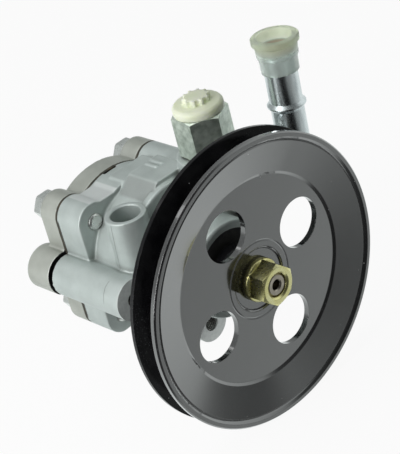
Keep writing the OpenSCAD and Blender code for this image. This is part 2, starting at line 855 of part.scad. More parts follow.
module suction_pipe() {
  color([0.70, 0.73, 0.72]) {
    // straight end in the body with the groove of the pipe seal
    difference() {
      translate([flange_x - pipe_in, pipe_y, pipe_z])
        rotate([0, 90, 0])
          linear_extrude(height = pipe_x - bend_r - flange_x + pipe_in)
            pipe_section();
      difference() {
        rod_x(pipe_y, pipe_z, pipe_r + 1, flange_x - 8, flange_x - 6);
        rod_x(pipe_y, pipe_z, pipe_r - 0.6, flange_x - 9, flange_x - 5);
      }
    }
    // bend
    translate([pipe_x - bend_r, pipe_y, pipe_z + bend_r])
      rotate([90, 0, 0])
        rotate([0, 0, -90])
          rotate_extrude(angle = 90 - pipe_lean)
            translate([bend_r, 0])
              pipe_section();
    // upright end with the bead that stops the hose
    at_pipe() {
      linear_extrude(height = pipe_len - lead_len)
        pipe_section();
      linear_extrude(height = pipe_len)
        pipe_section(lead_r);
      translate([0, 0, pipe_len - 30])
        rotate_extrude()
          polygon([
            [pipe_r - pipe_wall / 2, 0], [pipe_r, 0], [pipe_r + 1.4, 1.6], [pipe_r + 1.4, 2.4],
            [pipe_r, 4], [pipe_r - pipe_wall / 2, 4]
          ]);
    }
  }
}

module pipe_flange() {
  color([0.66, 0.68, 0.67])
    difference() {
      union() {
        rod_x(pipe_y, pipe_z, pipe_flange_r, flange_x, flange_x + pipe_flange_t);
        rod_x(pipe_y, pipe_bolt_z, 7.6, flange_x, flange_x + pipe_flange_t);
        translate([flange_x, pipe_y - 7.6, pipe_z])
          cube([pipe_flange_t, 15.2, pipe_bolt_z - pipe_z]);
      }
      rod_x(pipe_y, pipe_z, pipe_r, flange_x - 1, flange_x + pipe_flange_t + 1);
      rod_x(pipe_y, pipe_bolt_z, 3.3, flange_x - 1, flange_x + pipe_flange_t + 1);
    }
}

module pipe_bolt() {
  color([0.78, 0.78, 0.76]) {
    rod_x(pipe_y, pipe_bolt_z, 3, flange_x - 12, flange_x + pipe_flange_t + 0.5);
    rod_x(pipe_y, pipe_bolt_z, 6.4, flange_x + pipe_flange_t, flange_x + pipe_flange_t + 1.4);
    translate([flange_x + pipe_flange_t, pipe_y, pipe_bolt_z])
      rotate([0, 90, 0])
        intersection() {
          cylinder(d = 10 / cos(30), h = 6, $fn = 6);
          cylinder(r1 = 11.2, r2 = 5.2, h = 6);
        }
  }
}

module pipe_seal() {
  color([0.08, 0.08, 0.08])
    difference() {
      rod_x(pipe_y, pipe_z, pipe_r + 0.2, flange_x - 7.9, flange_x - 6.1);
      rod_x(pipe_y, pipe_z, pipe_r - 0.6, flange_x - 9, flange_x - 5);
    }
}

module suction_cap() {
  color([0.88, 0.87, 0.72])
    at_pipe()
      translate([0, 0, pipe_len])
        rotate_extrude()
          polygon([
            [lead_r + 0.02, -cap_skirt], [pipe_r + 1.1, -cap_skirt], [pipe_r + 1.3, -3.4], [pipe_r + 2, -2.7],
            [pipe_r + 2.2, 3.2], [pipe_r + 3.5, 4], [pipe_r + 3.5, 6.3], [pipe_r + 2.9, 6.8],
            [pipe_r + 0.4, 6.8], [pipe_r - 0.2, 1.8], [0, 1.8], [0, 0], [lead_r + 0.02, 0]
          ]);
}

placed() front_housing();
placed() rear_cover();
placed() joint_gasket();
placed() cover_bolts();
placed() front_side_plate();
placed() cam_ring();
placed() rear_side_plate();
placed() plate_seal();
placed() spring_washer();
placed() dowel_pins();
placed() drive_shaft();
placed() rotor();
placed() rotor_ring();
placed() rear_bush();
for (i = [1 : vane_n])
  placed() vane(i);
placed() bearing_outer();
placed() bearing_inner();
placed() bearing_cage();
for (i = [1 : ball_n])
  placed() ball(i);
placed() bearing_ring();
placed() oil_seal();
placed() pulley_front();
placed() pulley_rear();
placed() pulley_hub();
placed() woodruff_key();
placed() pulley_nut();
placed() pressure_union();
placed() union_seal();
placed() valve_spool();
placed() valve_spring();
placed() pressure_plug();
placed() suction_pipe();
placed() pipe_flange();
placed() pipe_bolt();
placed() pipe_seal();
placed() suction_cap();
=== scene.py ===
"""Looks of the power steering pump: castings, threads, plug, nut and spring, finishes, light and camera."""

import json
import math

import bmesh
import bpy
import numpy as np
from mathutils import Matrix, Vector


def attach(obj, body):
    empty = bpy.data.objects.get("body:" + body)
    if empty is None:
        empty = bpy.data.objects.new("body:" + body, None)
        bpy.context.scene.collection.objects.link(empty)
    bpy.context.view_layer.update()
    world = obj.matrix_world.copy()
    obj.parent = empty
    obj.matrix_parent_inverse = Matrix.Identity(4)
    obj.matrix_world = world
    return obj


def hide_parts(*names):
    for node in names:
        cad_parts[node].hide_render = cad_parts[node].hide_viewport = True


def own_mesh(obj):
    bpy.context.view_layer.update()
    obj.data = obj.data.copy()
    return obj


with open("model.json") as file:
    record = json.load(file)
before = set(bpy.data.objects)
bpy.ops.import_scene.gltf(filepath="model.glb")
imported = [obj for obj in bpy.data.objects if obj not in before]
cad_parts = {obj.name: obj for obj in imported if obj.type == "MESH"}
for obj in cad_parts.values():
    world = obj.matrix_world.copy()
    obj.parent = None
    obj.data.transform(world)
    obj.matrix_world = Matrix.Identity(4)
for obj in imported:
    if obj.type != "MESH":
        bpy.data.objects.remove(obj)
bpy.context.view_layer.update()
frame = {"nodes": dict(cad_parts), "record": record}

MM = 0.001
WELD = 1e-6  # points closer than this, in m, are one
CASTING_TRIANGLES, MOULDING_TRIANGLES = 150000, 60000
CASTING_SHARP, MOULDING_SHARP, TURNED_SHARP = 38, 50, 25  # edges over this angle stay sharp
NODES = frame["nodes"]
MOUNTS = {m["name"]: m for m in frame["record"]["mounts"]}


# Shapes

def lathe(bm, profile, matrix, segments=64):
    """Adds a closed turned body to bm from (radius, height) points in mm, along matrix's Z."""
    rings = []
    for r, h in profile:
        if r == 0:
            rings.append([bm.verts.new(matrix @ Vector((0, 0, h * MM)))])
            continue
        angles = [2 * math.pi * i / segments for i in range(segments)]
        points = [Vector((r * MM * math.cos(a), r * MM * math.sin(a), h * MM)) for a in angles]
        rings.append([bm.verts.new(matrix @ point) for point in points])
    for low, high in zip(rings, rings[1:]):
        for i in range(segments):
            j = (i + 1) % segments
            corners = [low[i % len(low)], low[j % len(low)], high[j % len(high)], high[i % len(high)]]
            corners = [v for k, v in enumerate(corners) if v not in corners[:k]]
            bm.faces.new(corners)


def sweep(bm, rows):
    """Joins rows of as many points each into a tube with closed ends."""
    for first, second in zip(rows, rows[1:]):
        for i in range(len(first)):
            j = (i + 1) % len(first)
            bm.faces.new((first[i], first[j], second[j], second[i]))
    bm.faces.new(rows[0])
    bm.faces.new(rows[-1])


def facing(position_mm, axis):
    """Matrix that puts Z along axis at a point given in mm."""
    turn = Vector((0, 0, 1)).rotation_difference(Vector(axis)).to_matrix().to_4x4()
    return Matrix.Translation(Vector(position_mm) * MM) @ turn


def evaluated(obj):
    """The mesh of obj with its modifiers applied."""
    deps = bpy.context.evaluated_depsgraph_get()
    return bpy.data.meshes.new_from_object(obj.evaluated_get(deps))


def add_object(name, mesh):
    obj = bpy.data.objects.new(name, mesh)
    bpy.context.scene.collection.objects.link(obj)
    return obj


def object_from(bm, name):
    mesh = bpy.data.meshes.new(name)
    bmesh.ops.recalc_face_normals(bm, faces=bm.faces)
    bm.to_mesh(mesh)
    bm.free()
    return add_object(name, mesh)


def smooth(obj, sharp=180):
    """Shades obj smooth, apart from its edges over an angle in degrees."""
    for face in obj.data.polygons:
        face.use_smooth = True
    if sharp < 180:
        obj.data.set_sharp_from_angle(angle=math.radians(sharp))


def rebuilt(obj, voxel):
    """One even skin over obj, which may be several closed bodies that overlap."""
    skin = obj.modifiers.new("skin", "REMESH")
    skin.mode = "VOXEL"
    skin.voxel_size = voxel * MM
    return evaluated(obj)


def relax(mesh, freedom, rounds):
    """Rounds the edges of mesh; freedom(points in mm) says from 0 to 1 how far each vertex may move."""
    count = len(mesh.vertices)
    points = np.empty(count * 3)
    mesh.vertices.foreach_get("co", points)
    points = points.reshape(count, 3)
    pairs = np.empty(len(mesh.edges) * 2, dtype=np.int64)
    mesh.edges.foreach_get("vertices", pairs)
    pairs = pairs.reshape(-1, 2)
    degree = np.bincount(pairs.ravel(), minlength=count)[:, None]
    step = 0.5 * freedom(points / MM)[:, None]
    for _ in range(rounds):
        total = np.zeros_like(points)
        for axis in range(3):
            total[:, axis] += np.bincount(pairs[:, 0], points[pairs[:, 1], axis], count)
            total[:, axis] += np.bincount(pairs[:, 1], points[pairs[:, 0], axis], count)
        points += step * (total / degree - points)
    mesh.vertices.foreach_set("co", points.ravel())
    mesh.update()


def cut(obj, cutter):
    """Takes cutter out of obj and removes it."""
    knife = obj.modifiers.new("machining", "BOOLEAN")
    knife.object = cutter
    knife.operation = "DIFFERENCE"
    knife.solver = "EXACT"
    mesh = evaluated(obj)
    obj.modifiers.clear()
    obj.data = mesh
    bpy.data.objects.remove(cutter)


def thinned(obj, limit):
    """Takes faces out of obj, first where it is flat, until limit triangles are left."""
    count = sum(len(face.vertices) - 2 for face in obj.data.polygons)
    if count > limit:
        fewer = obj.modifiers.new("fewer", "DECIMATE")
        fewer.ratio = limit / count
        mesh = evaluated(obj)
        obj.modifiers.clear()
        obj.data = mesh


def rounded(name, node, stock, freedom, voxel, rounds, limit):
    """A CAD node's form and the stock added to it as one skin with rounded edges."""
    bm = bmesh.new()
    bm.from_mesh(NODES[node].data)
    bmesh.ops.remove_doubles(bm, verts=bm.verts, dist=WELD)
    for profile, matrix in stock:
        lathe(bm, profile, matrix)
    bmesh.ops.remove_doubles(bm, verts=bm.verts, dist=WELD)
    rough = object_from(bm, name + "_rough")
    mesh = rebuilt(rough, voxel)
    bpy.data.objects.remove(rough)
    relax(mesh, freedom, rounds)
    obj = add_object(name, mesh)
    thinned(obj, limit)
    return obj


def casting(name, node, stock, machining, freedom, voxel, rounds):
    """A cast piece that stands for a CAD node: rounded all over, then machined where it has stock."""
    obj = rounded(name, node, stock, freedom, voxel, rounds, CASTING_TRIANGLES)
    bm = bmesh.new()
    for profile, matrix in machining:
        lathe(bm, profile, matrix)
    cut(obj, object_from(bm, name + "_cutter"))
    smooth(obj, CASTING_SHARP)
    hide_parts(node)
    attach(obj, "housing")
    return obj


def machined(obj, faces, material):
    """Gives flat faces that a tool has left their own material: each a point in mm, an axis and a radius."""
    obj.data.materials.append(material)
    count = len(obj.data.polygons)
    normals, centres = np.empty(count * 3), np.empty(count * 3)
    obj.data.polygons.foreach_get("normal", normals)
    obj.data.polygons.foreach_get("center", centres)
    normals, centres = normals.reshape(-1, 3), centres.reshape(-1, 3) / MM
    index = np.zeros(count, dtype=np.int32)
    for point, axis, radius in faces:
        away = centres - np.array(point)
        height = away @ np.array(axis, dtype=float)
        flat = (normals @ np.array(axis, dtype=float) > 0.99) & (np.abs(height) < 0.05)
        index[flat & (np.linalg.norm(away, axis=1) < radius)] = 1
    obj.data.polygons.foreach_set("material_index", index)


def moulding(name, node, body, voxel, rounds):
    """A piece with soft edges that stands for a CAD node."""
    obj = rounded(name, node, [], lambda p: np.ones(len(p)), voxel, rounds, MOULDING_TRIANGLES)
    smooth(obj, MOULDING_SHARP)
    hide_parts(node)
    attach(obj, body)
    return obj


def with_rings(name, node, body, rings):
    """A turned piece that stands for a CAD node, with finer rings on it."""
    bm = bmesh.new()
    corners = [bm.verts.new(v.co) for v in NODES[node].data.vertices]
    for face in NODES[node].data.polygons:
        bm.faces.new([corners[i] for i in face.vertices])
    for profile, matrix in rings:
        lathe(bm, profile, matrix, 96)
    bmesh.ops.remove_doubles(bm, verts=bm.verts, dist=WELD)
    obj = object_from(bm, name)
    smooth(obj, TURNED_SHARP)
    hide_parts(node)
    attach(obj, body)
    return obj


def coil(name, node, centre, low, high, mean, wire, turns):
    """A round wire spring about Z that stands for a CAD node; sizes in mm."""
    bm = bmesh.new()
    steps, sides = 40, 10
    total = turns * steps
    rise = high - low - 2 * wire
    slope = rise / (turns * 2 * math.pi * mean)
    rows = []
    for k in range(total + 1):
        angle = 2 * math.pi * k / steps
        outward = Vector((math.cos(angle), math.sin(angle), 0))
        along = Vector((-math.sin(angle), math.cos(angle), slope)).normalized()
        across = along.cross(outward)
        middle = Vector((centre[0], centre[1], low + wire + rise / total * k)) + outward * mean
        ring = [2 * math.pi * i / sides for i in range(sides)]
        section = [middle + (outward * math.cos(a) + across * math.sin(a)) * wire for a in ring]
        rows.append([bm.verts.new(point * MM) for point in section])
    sweep(bm, rows)
    obj = object_from(bm, name)
    smooth(obj)
    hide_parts(node)
    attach(obj, "housing")
    return obj


BELT_Y = 8.35  # the frame's zero lies at the belt
BOLT = 26.6  # cover bolts lie this far to each side
BOLT_HOLE, BOLT_STOCK = 4.02, 4.5
MOUNT_HOLE = 4
BOSS, EAR, LOBE = 10.6, 9.6, 11.1  # radii of the bosses at the mounting holes
BOSS_FACE, EAR_FACE, LOBE_FACE = 13, 11.5, 14  # and of the tool that faces them
LUG_Y, FACE_Y, COVER_Y = 81.95 - BELT_Y, 98.65 - BELT_Y, 99.35 - BELT_Y
PORT = [v / MM for v in MOUNTS["side_port"]["pos_m"]]
PORT_R, PORT_DEPTH = MOUNTS["side_port"]["dims"]["r_mm"], MOUNTS["side_port"]["dims"]["length_mm"]
LEFT = [v / MM for v in MOUNTS["left_mount"]["pos_m"]]
LOWER = [v / MM for v in MOUNTS["lower_mount"]["pos_m"]]
REAR = [v / MM for v in MOUNTS["rear_mount"]["pos_m"]]
CORNERS = [(sx * BOLT, sz * BOLT) for sx in (-1, 1) for sz in (-1, 1)]
UP, FRONT, BACK = (0, 0, 1), (0, -1, 0), (0, 1, 0)
RIM = [(23, -3), (27.6, -3), (28.6, -2), (28.6, 1.4), (27.6, 2.4), (23, 2.4), (23, -3)]
RIM_PLACE = (1, 50.65, 9)


def disc(r, low, high):
    return [(0, low), (r, low), (r, high), (0, high)]


def step_cut(bore, depth, face):
    """Profile that faces a boss at height 0 and bores it to a depth."""
    return [(0, -depth), (bore, -depth), (bore, 0), (face, 0), (face, 4), (0, 4)]


def bored(bore, depth, chamfer):
    """Profile of a hole with a chamfered mouth."""
    return [(0, -depth), (bore, -depth), (bore, -chamfer), (bore + chamfer, 0), (bore + chamfer, 4), (0, 4)]


def housing_freedom(p):
    """The chamber and the joint face stay as they are."""
    radius = np.hypot(p[:, 0], p[:, 2])
    inside = (radius < 30.5) & (p[:, 1] > 50)
    nose = radius < 21.6
    free = np.where(inside | nose, 0.0, 1.0)
    return np.where(np.abs(p[:, 1] - FACE_Y) < 1.2, 0.25, free)


def cover_freedom(p):
    radius = np.hypot(p[:, 0], p[:, 2])
    free = np.where(radius < 10, 0.0, 1.0)
    return np.where(np.abs(p[:, 1] - COVER_Y) < 1.2, 0.25, free)


housing = casting(
    "housing_casting", "front_housing",
    stock=[
        (disc(10.0, -14, 0), facing(PORT, UP)),
        (RIM, facing(RIM_PLACE, FRONT)),
        (disc(BOSS, -30, 2), facing(LEFT, FRONT)),
        (disc(EAR, -13, 2), facing(LOWER, FRONT)),
    ] + [(disc(BOLT_STOCK, 0.5, FACE_Y - LUG_Y - 1), facing((x, LUG_Y, z), BACK)) for x, z in CORNERS],
    machining=[
        (bored(PORT_R, PORT_DEPTH, 0.5), facing(PORT, UP)),
        (step_cut(MOUNT_HOLE, 24, BOSS_FACE), facing(LEFT, FRONT)),
        (step_cut(MOUNT_HOLE, 15, EAR_FACE), facing(LOWER, FRONT)),
    ] + [(disc(BOLT_HOLE, -3, FACE_Y - LUG_Y + 1), facing((x, LUG_Y, z), BACK)) for x, z in CORNERS],
    freedom=housing_freedom, voxel=0.45, rounds=4,
)
cover = casting(
    "cover_casting", "rear_cover",
    stock=[(disc(LOBE, -14, 2), facing(REAR, BACK))],
    machining=[(step_cut(MOUNT_HOLE, 12.2, LOBE_FACE), facing(REAR, BACK))],
    freedom=cover_freedom, voxel=0.5, rounds=7,
)


def thread(name, mount, pitch=1.25, depth=0.6):
    """Helical ridge on the wall of a threaded mounting hole."""
    spec = MOUNTS[mount]
    wall, length = spec["dims"]["r_mm"], spec["dims"]["length_mm"]
    matrix = facing([v / MM for v in spec["pos_m"]], spec["axis"])
    steps = 32
    total = int((length - 1.2) / pitch * steps)
    bm = bmesh.new()
    rows = []
    for k in range(total + 1):
        angle, height = 2 * math.pi * k / steps, -0.7 - pitch * k / steps
        rise = depth * min(1, (k + 2) / steps, (total - k + 2) / steps)
        section = [(wall, height + 0.45 * pitch), (wall - rise, height), (wall, height - 0.45 * pitch)]
        points = [Vector((r * math.cos(angle), r * math.sin(angle), z)) for r, z in section]
        rows.append([bm.verts.new(matrix @ (point * MM)) for point in points])
    sweep(bm, rows)
    obj = object_from(bm, name)
    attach(obj, "housing")
    return obj


threads = [thread(m + "_thread", m) for m in ("left_mount", "lower_mount", "rear_mount")]
plug = moulding("plug_moulding", "pressure_plug", "plug", 0.3, 10)

NUT_BACK = 7.1 - BELT_Y
FLANGE = [(7.5, -3.7), (9.7, -3.7), (10.3, -3.2), (10.5, -2.6), (10.5, -1.2), (7.5, -1.2), (7.5, -3.7)]
nut = with_rings("flange_nut", "pulley_nut", "shaft_group",
                 [(FLANGE, facing((0, NUT_BACK, 0), BACK))])

# the valve's spring shortens by the spool's 5 mm of travel
SPRING_LOW, SPRING_HIGH = -18.0, 5.0
spring = coil("coil_spring", "valve_spring", (26.0, 51.0 - BELT_Y), SPRING_LOW, SPRING_HIGH, 5.4, 0.7, 6)
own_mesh(spring)


# Finishes

class Finish:
    """One procedural material: a Principled shader and the nodes that feed it."""

    def __init__(self, name, **values):
        self.material = bpy.data.materials.new(name)
        self.material.use_nodes = True
        self.tree = self.material.node_tree
        self.shader = self.tree.nodes["Principled BSDF"]
        self.place = self.tree.nodes.new("ShaderNodeTexCoord").outputs["Object"]
        for key, value in values.items():
            self.shader.inputs[key.replace("_", " ")].default_value = value

    def add(self, kind, inputs=(), **settings):
        node = self.tree.nodes.new("ShaderNode" + kind)
        for key, value in settings.items():
            setattr(node, key, value)
        for key, value in dict(inputs).items():
            if isinstance(value, bpy.types.NodeSocket):
                self.tree.links.new(value, node.inputs[key])
            else:
                node.inputs[key].default_value = value
        return node

    def feed(self, socket, output):
        self.tree.links.new(output, self.shader.inputs[socket])

    def noise(self, scale, detail=3.0, stretch=None):
        place = self.place
        if stretch:
            place = self.add("Mapping", {"Vector": place, "Scale": stretch}).outputs["Vector"]
        return self.add("TexNoise", {"Vector": place, "Scale": scale, "Detail": detail}).outputs["Fac"]

    def ramp(self, fac, *stops):
        node = self.add("ValToRGB", {"Fac": fac})
        band = node.color_ramp
        while len(band.elements) < len(stops):
            band.elements.new(0.5)
        for element, (where, colour) in zip(band.elements, stops):
            element.position = where
            element.color = (*colour, 1) if len(colour) == 3 else colour
        return node.outputs["Color"]

    def level(self, fac, low, high, start=0.0, end=1.0):
        limits = {"From Min": start, "From Max": end, "To Min": low, "To Max": high}
        return self.add("MapRange", {"Value": fac, **limits}).outputs["Result"]

    def blend(self, fac, a, b, mode="MIX"):
        node = self.add("Mix", data_type="RGBA", blend_type=mode)
        for socket, value in ((node.inputs[0], fac), (node.inputs[6], a), (node.inputs[7], b)):
            if isinstance(value, bpy.types.NodeSocket):
                self.tree.links.new(value, socket)
            elif isinstance(value, (int, float)):
                socket.default_value = value
            else:
                socket.default_value = (*value, 1)
        return node.outputs[2]

    def math(self, operation, a, b=0.0, c=0.0):
        return self.add("Math", {0: a, 1: b, 2: c}, operation=operation).outputs[0]

    def axes(self):
        """The place on the part in mm, as three values."""
        place = self.add("VectorMath", {0: self.place, "Scale": 1 / MM}, operation="SCALE").outputs[0]
        parts = self.add("SeparateXYZ", {0: place})
        return [parts.outputs[i] for i in range(3)]

    def band(self, value, centre, half, soft):
        """1 where value lies within half of centre, falling to 0 over soft."""
        off = self.math("ABSOLUTE", self.math("SUBTRACT", value, centre))
        return self.level(off, 1.0, 0.0, half, half + soft)

    def near(self, point_mm, radius, soft):
        """1 within radius of a point, in mm."""
        place = [v * MM for v in point_mm]
        away = self.add("VectorMath", {0: self.place, 1: place}, operation="DISTANCE").outputs["Value"]
        return self.level(away, 1.0, 0.0, radius * MM, (radius + soft) * MM)

    def both(self, *masks):
        total = masks[0]
        for mask in masks[1:]:
            total = self.math("MULTIPLY", total, mask)
        return total

    def bump(self, height, strength, distance, normal=None):
        inputs = {"Height": height, "Strength": strength, "Distance": distance}
        if normal is not None:
            inputs["Normal"] = normal
        return self.add("Bump", inputs).outputs["Normal"]

    def bevel(self, radius):
        return self.add("Bevel", {"Radius": radius * MM}, samples=6).outputs["Normal"]

    def edges(self, reach):
        """1 on outer edges, 0 on open faces."""
        inner = self.add("AmbientOcclusion", {"Distance": reach * MM}, samples=8, inside=True).outputs["AO"]
        return self.level(inner, 1.0, 0.0, 0.55, 0.9)

    def radius(self):
        """Distance from the shaft's axis in mm."""
        x, y, z = self.axes()
        return self.math("SQRT", self.math("MULTIPLY_ADD", x, x, self.math("MULTIPLY", z, z)))

    def cavity(self, reach):
        """Near 0 in corners and gaps, 1 in the open."""
        return self.add("AmbientOcclusion", {"Distance": reach * MM}, samples=8).outputs["AO"]


def wear(*names):
    """Gives CAD nodes or pieces a finish: wear('node', ..., finish)."""
    *pieces, finish = names
    for piece in pieces:
        obj = NODES[piece] if isinstance(piece, str) else piece
        obj.data.materials.clear()
        obj.data.materials.append(finish.material)


def cast_aluminium(name, dark, light):
    f = Finish(name, Metallic=0.45)
    mottle = f.noise(90, 4)
    grain = f.noise(1500, 2)
    colour = f.ramp(mottle, (0.3, dark), (0.7, light))
    # painted shade: darker in corners and recesses
    corner_shade = f.level(f.cavity(6), 0.0, 1.0, 0.2, 0.75)
    colour = f.blend(corner_shade, (0.14, 0.145, 0.13), colour)
    # lighter outer edges: worn metal, and a painted highlight along them
    colour = f.blend(f.math("MULTIPLY", f.edges(0.9), 0.7), colour, (0.74, 0.77, 0.75))
    # parting line down the side port and the fine seam across the left boss
    x, y, z = f.axes()
    wander = f.math("MULTIPLY_ADD", f.noise(300, 2), 1.2, y)
    lean = f.math("MULTIPLY_ADD", z, 0.117, f.math("MULTIPLY_ADD", f.noise(300, 2), 0.5, y))
    seam = f.both(f.band(lean, 55.4, 0.1, 0.15), f.band(x, -33, 3, 0.3), f.band(z, 22, 12.5, 0.5))
    crack = f.both(f.band(wander, 52.0, 0.08, 0.15), f.band(x, -47, 3.4, 0.3), f.band(z, 5.5, 4.2, 0.6))
    line = f.math("MAXIMUM", seam, crack)
    # painted shade darkening the sloping side of the plateau
    height = f.math("MULTIPLY_ADD", x, -0.655, f.math("MULTIPLY", z, 0.756))
    skin = f.both(f.band(height, 30.97, 0.5, 0.4), f.band(x, -6.0, 3.4, 1.2), f.band(y, 61.5, 9.5, 1.8))
    colour = f.blend(f.math("MULTIPLY", skin, 0.62), colour, (0.25, 0.265, 0.255))
    # brighter pad beside the upper left lug
    pad = f.both(f.band(x, -18, 8.5, 0.8), f.band(y, 81.5, 7.2, 0.8), f.level(z, 0.0, 1.0, 33.6, 34.3))
    colour = f.blend(f.math("MULTIPLY", pad, 0.75), colour, (0.72, 0.75, 0.74))
    # darker band along the joint
    stray = f.math("MULTIPLY_ADD", f.noise(260, 3), 0.5, f.math("SUBTRACT", y, 0.25))
    joint_band = f.band(stray, 90.65, 0.65, 0.3)
    colour = f.blend(f.math("MULTIPLY", joint_band, 0.93), colour, (0.045, 0.042, 0.027))
    colour = f.blend(f.math("MULTIPLY", line, 0.75), colour, (0.13, 0.135, 0.125))
    # painted shade: the open joint between the left boss and the cover's lobe, near black
    gap_shade = f.both(f.band(y, 90.28, 1.2, 0.05), f.level(x, 1.0, 0.0, -36.4, -36.2))
    f.feed("Base Color", f.blend(gap_shade, colour, (0.012, 0.012, 0.012)))
    f.feed("Roughness", f.level(grain, 0.42, 0.56, 0.3, 0.7))
    rough = f.bump(f.noise(420, 4), 0.25, 0.00012, f.bump(grain, 0.3, 0.00004))
    rough = f.bump(f.noise(130, 3), 0.3, 0.0004, rough)
    f.feed("Normal", f.bump(f.math("SUBTRACT", 1.0, line), 0.5, 0.0002, rough))
    return f


def cut_aluminium():
    f = Finish("machined aluminium", Metallic=0.9)
    f.feed("Base Color", f.ramp(f.noise(500, 3), (0.3, (0.62, 0.64, 0.63)), (0.7, (0.74, 0.76, 0.75))))
    f.feed("Roughness", f.level(f.noise(1200, 2), 0.26, 0.4))
    f.feed("Normal", f.bump(f.noise(1800, 2), 0.25, 0.00004))
    return f


def black_paint(name, **gloss):
    f = Finish(name, **gloss)
    cells = f.add("TexVoronoi", {"Vector": f.place, "Scale": 260.0})
    some = f.level(f.add("SeparateXYZ", {0: cells.outputs["Color"]}).outputs[0], 0.0, 1.0, 0.78, 0.8)
    speck = f.both(f.level(cells.outputs["Distance"], 1.0, 0.0, 0.035, 0.06), some)
    film = f.ramp(f.noise(140, 4), (0.35, (0.004, 0.004, 0.005)), (0.75, (0.012, 0.012, 0.013)))
    fine = f.add("TexVoronoi", {"Vector": f.place, "Scale": 1100.0})
    dots = f.level(fine.outputs["Distance"], 1.0, 0.0, 0.1, 0.3)
    haze = f.both(dots, f.level(f.noise(38, 2), 0.0, 0.6, 0.55, 0.72))
    film = f.blend(haze, film, (0.12, 0.125, 0.13))
    f.feed("Base Color", f.blend(speck, film, (0.65, 0.66, 0.66)))
    f.feed("Roughness", f.level(f.noise(60, 3), 0.1, 0.18))
    # pressed crease round the hub, on the front only
    crease = f.both(f.band(f.radius(), 15.1, 0.3, 0.4), f.level(f.axes()[1], 1.0, 0.0, -1.1, -0.7))
    skin = f.bump(f.noise(40, 2), 0.05, 0.0008, f.bump(f.noise(260, 2), 0.06, 0.0001, f.bevel(0.4)))
    f.feed("Normal", f.bump(f.math("SUBTRACT", 1.0, crease), 1.0, 0.0009, skin))
    return f


def zinc(name, dark, light, low, high, edge=0.35, stretch=None):
    f = Finish(name, Metallic=1.0)
    mottle = f.noise(320, 5, stretch)
    f.feed("Base Color", f.ramp(mottle, (0.3, dark), (0.7, light)))
    f.feed("Roughness", f.level(f.noise(900, 3, stretch), low, high))
    f.feed("Normal", f.bump(f.noise(1300, 2, stretch), 0.12, 0.00004, f.bevel(edge)))
    return f


def gold_zinc():
    f = Finish("yellow zinc", Metallic=1.0)
    tint = f.noise(160, 4)
    colour = f.ramp(tint, (0.25, (0.52, 0.48, 0.20)), (0.5, (0.70, 0.66, 0.31)), (0.75, (0.77, 0.75, 0.45)))
    # painted shade: a darker ring at the back of the flange, where the slit to the washer would be
    washer = f.band(f.axes()[1], NUT_BACK - 0.45, 0.5, 0.1)
    f.feed("Base Color", f.blend(f.math("MULTIPLY", washer, 0.8), colour, (0.16, 0.15, 0.08)))
    f.feed("Roughness", f.level(f.noise(700, 3), 0.22, 0.34))
    f.feed("Normal", f.bump(f.noise(900, 2), 0.1, 0.00004, f.bevel(0.4)))
    return f


def plastic(name, colour, thin, clear, soft, stain=None, sleeve=None):
    f = Finish(name, Transmission_Weight=clear, Subsurface_Weight=soft, Subsurface_Scale=0.004,
               Subsurface_Radius=(1.0, 1.0, 0.8), IOR=1.4)
    matt = f.level(f.noise(500, 2), 0.3, 0.42)
    tint = f.blend(f.level(f.noise(150, 3), 0, 1, 0.3, 0.7), colour, thin)
    if sleeve:
        start, axis = sleeve
        away = f.add("VectorMath", {0: f.place, 1: start}, operation="SUBTRACT").outputs[0]
        along = f.add("VectorMath", {0: away, 1: axis}, operation="DOT_PRODUCT").outputs["Value"]
        tint = f.blend(f.level(along, 0, 1, 0.009, 0.014), (0.84, 0.91, 0.87), tint)
        matt = f.math("MULTIPLY", matt, f.level(along, 0.65, 1.15, 0.009, 0.014))
    if stain:
        tint = f.blend(f.math("MULTIPLY", f.near(stain, 5.6, 1.6), 0.85), tint, (0.60, 0.40, 0.27))
    f.feed("Base Color", tint)
    f.feed("Roughness", matt)
    f.feed("Normal", f.bump(f.noise(500, 2), 0.1, 0.0001, f.bevel(0.4)))
    return f


def rubber():
    f = Finish("black rubber")
    f.feed("Base Color", f.ramp(f.noise(700, 3), (0.3, (0.012, 0.012, 0.012)), (0.7, (0.03, 0.03, 0.028))))
    f.feed("Roughness", f.level(f.noise(900, 2), 0.55, 0.75))
    f.feed("Normal", f.bump(f.noise(1500, 2), 0.2, 0.00004))
    return f


def gasket_sheet():
    f = Finish("gasket sheet", Roughness=0.8)
    f.feed("Base Color", f.ramp(f.noise(300, 3), (0.4, (0.03, 0.03, 0.025)), (0.8, (0.13, 0.10, 0.06))))
    f.feed("Normal", f.bump(f.noise(2500, 2), 0.4, 0.00005))
    return f


def bronze():
    f = Finish("bronze", Metallic=1.0)
    f.feed("Base Color", f.ramp(f.noise(300, 3), (0.3, (0.50, 0.34, 0.17)), (0.7, (0.62, 0.44, 0.23))))
    f.feed("Roughness", f.level(f.noise(900, 2), 0.25, 0.4))
    return f


housing_aluminium = cast_aluminium("cast aluminium", (0.44, 0.49, 0.472), (0.532, 0.585, 0.566))
cover_aluminium = cast_aluminium("dull cast aluminium", (0.385, 0.402, 0.362), (0.475, 0.492, 0.45))
paint = black_paint("gloss black paint", IOR=1.95, Coat_Weight=1.0, Coat_IOR=1.6, Coat_Roughness=0.03,
                    Specular_IOR_Level=0.6)
groove_paint = black_paint("thin black paint", IOR=1.45, Specular_IOR_Level=0.3)
rubber_black = rubber()
steel = zinc("ground steel", (0.47, 0.46, 0.44), (0.60, 0.585, 0.56), 0.2, 0.34)
hard_steel = zinc("hardened steel", (0.34, 0.34, 0.35), (0.44, 0.44, 0.45), 0.25, 0.4)
union_zinc = zinc("dull zinc", (0.45, 0.51, 0.44), (0.80, 0.86, 0.78), 0.34, 0.5)
pipe_zinc = zinc("bright zinc", (0.50, 0.545, 0.56), (0.68, 0.725, 0.735), 0.2, 0.32, stretch=(1, 1, 0.3))
bolt_zinc = zinc("white zinc", (0.62, 0.64, 0.62), (0.74, 0.76, 0.74), 0.22, 0.36)
nut_zinc = gold_zinc()
metal_bronze = bronze()

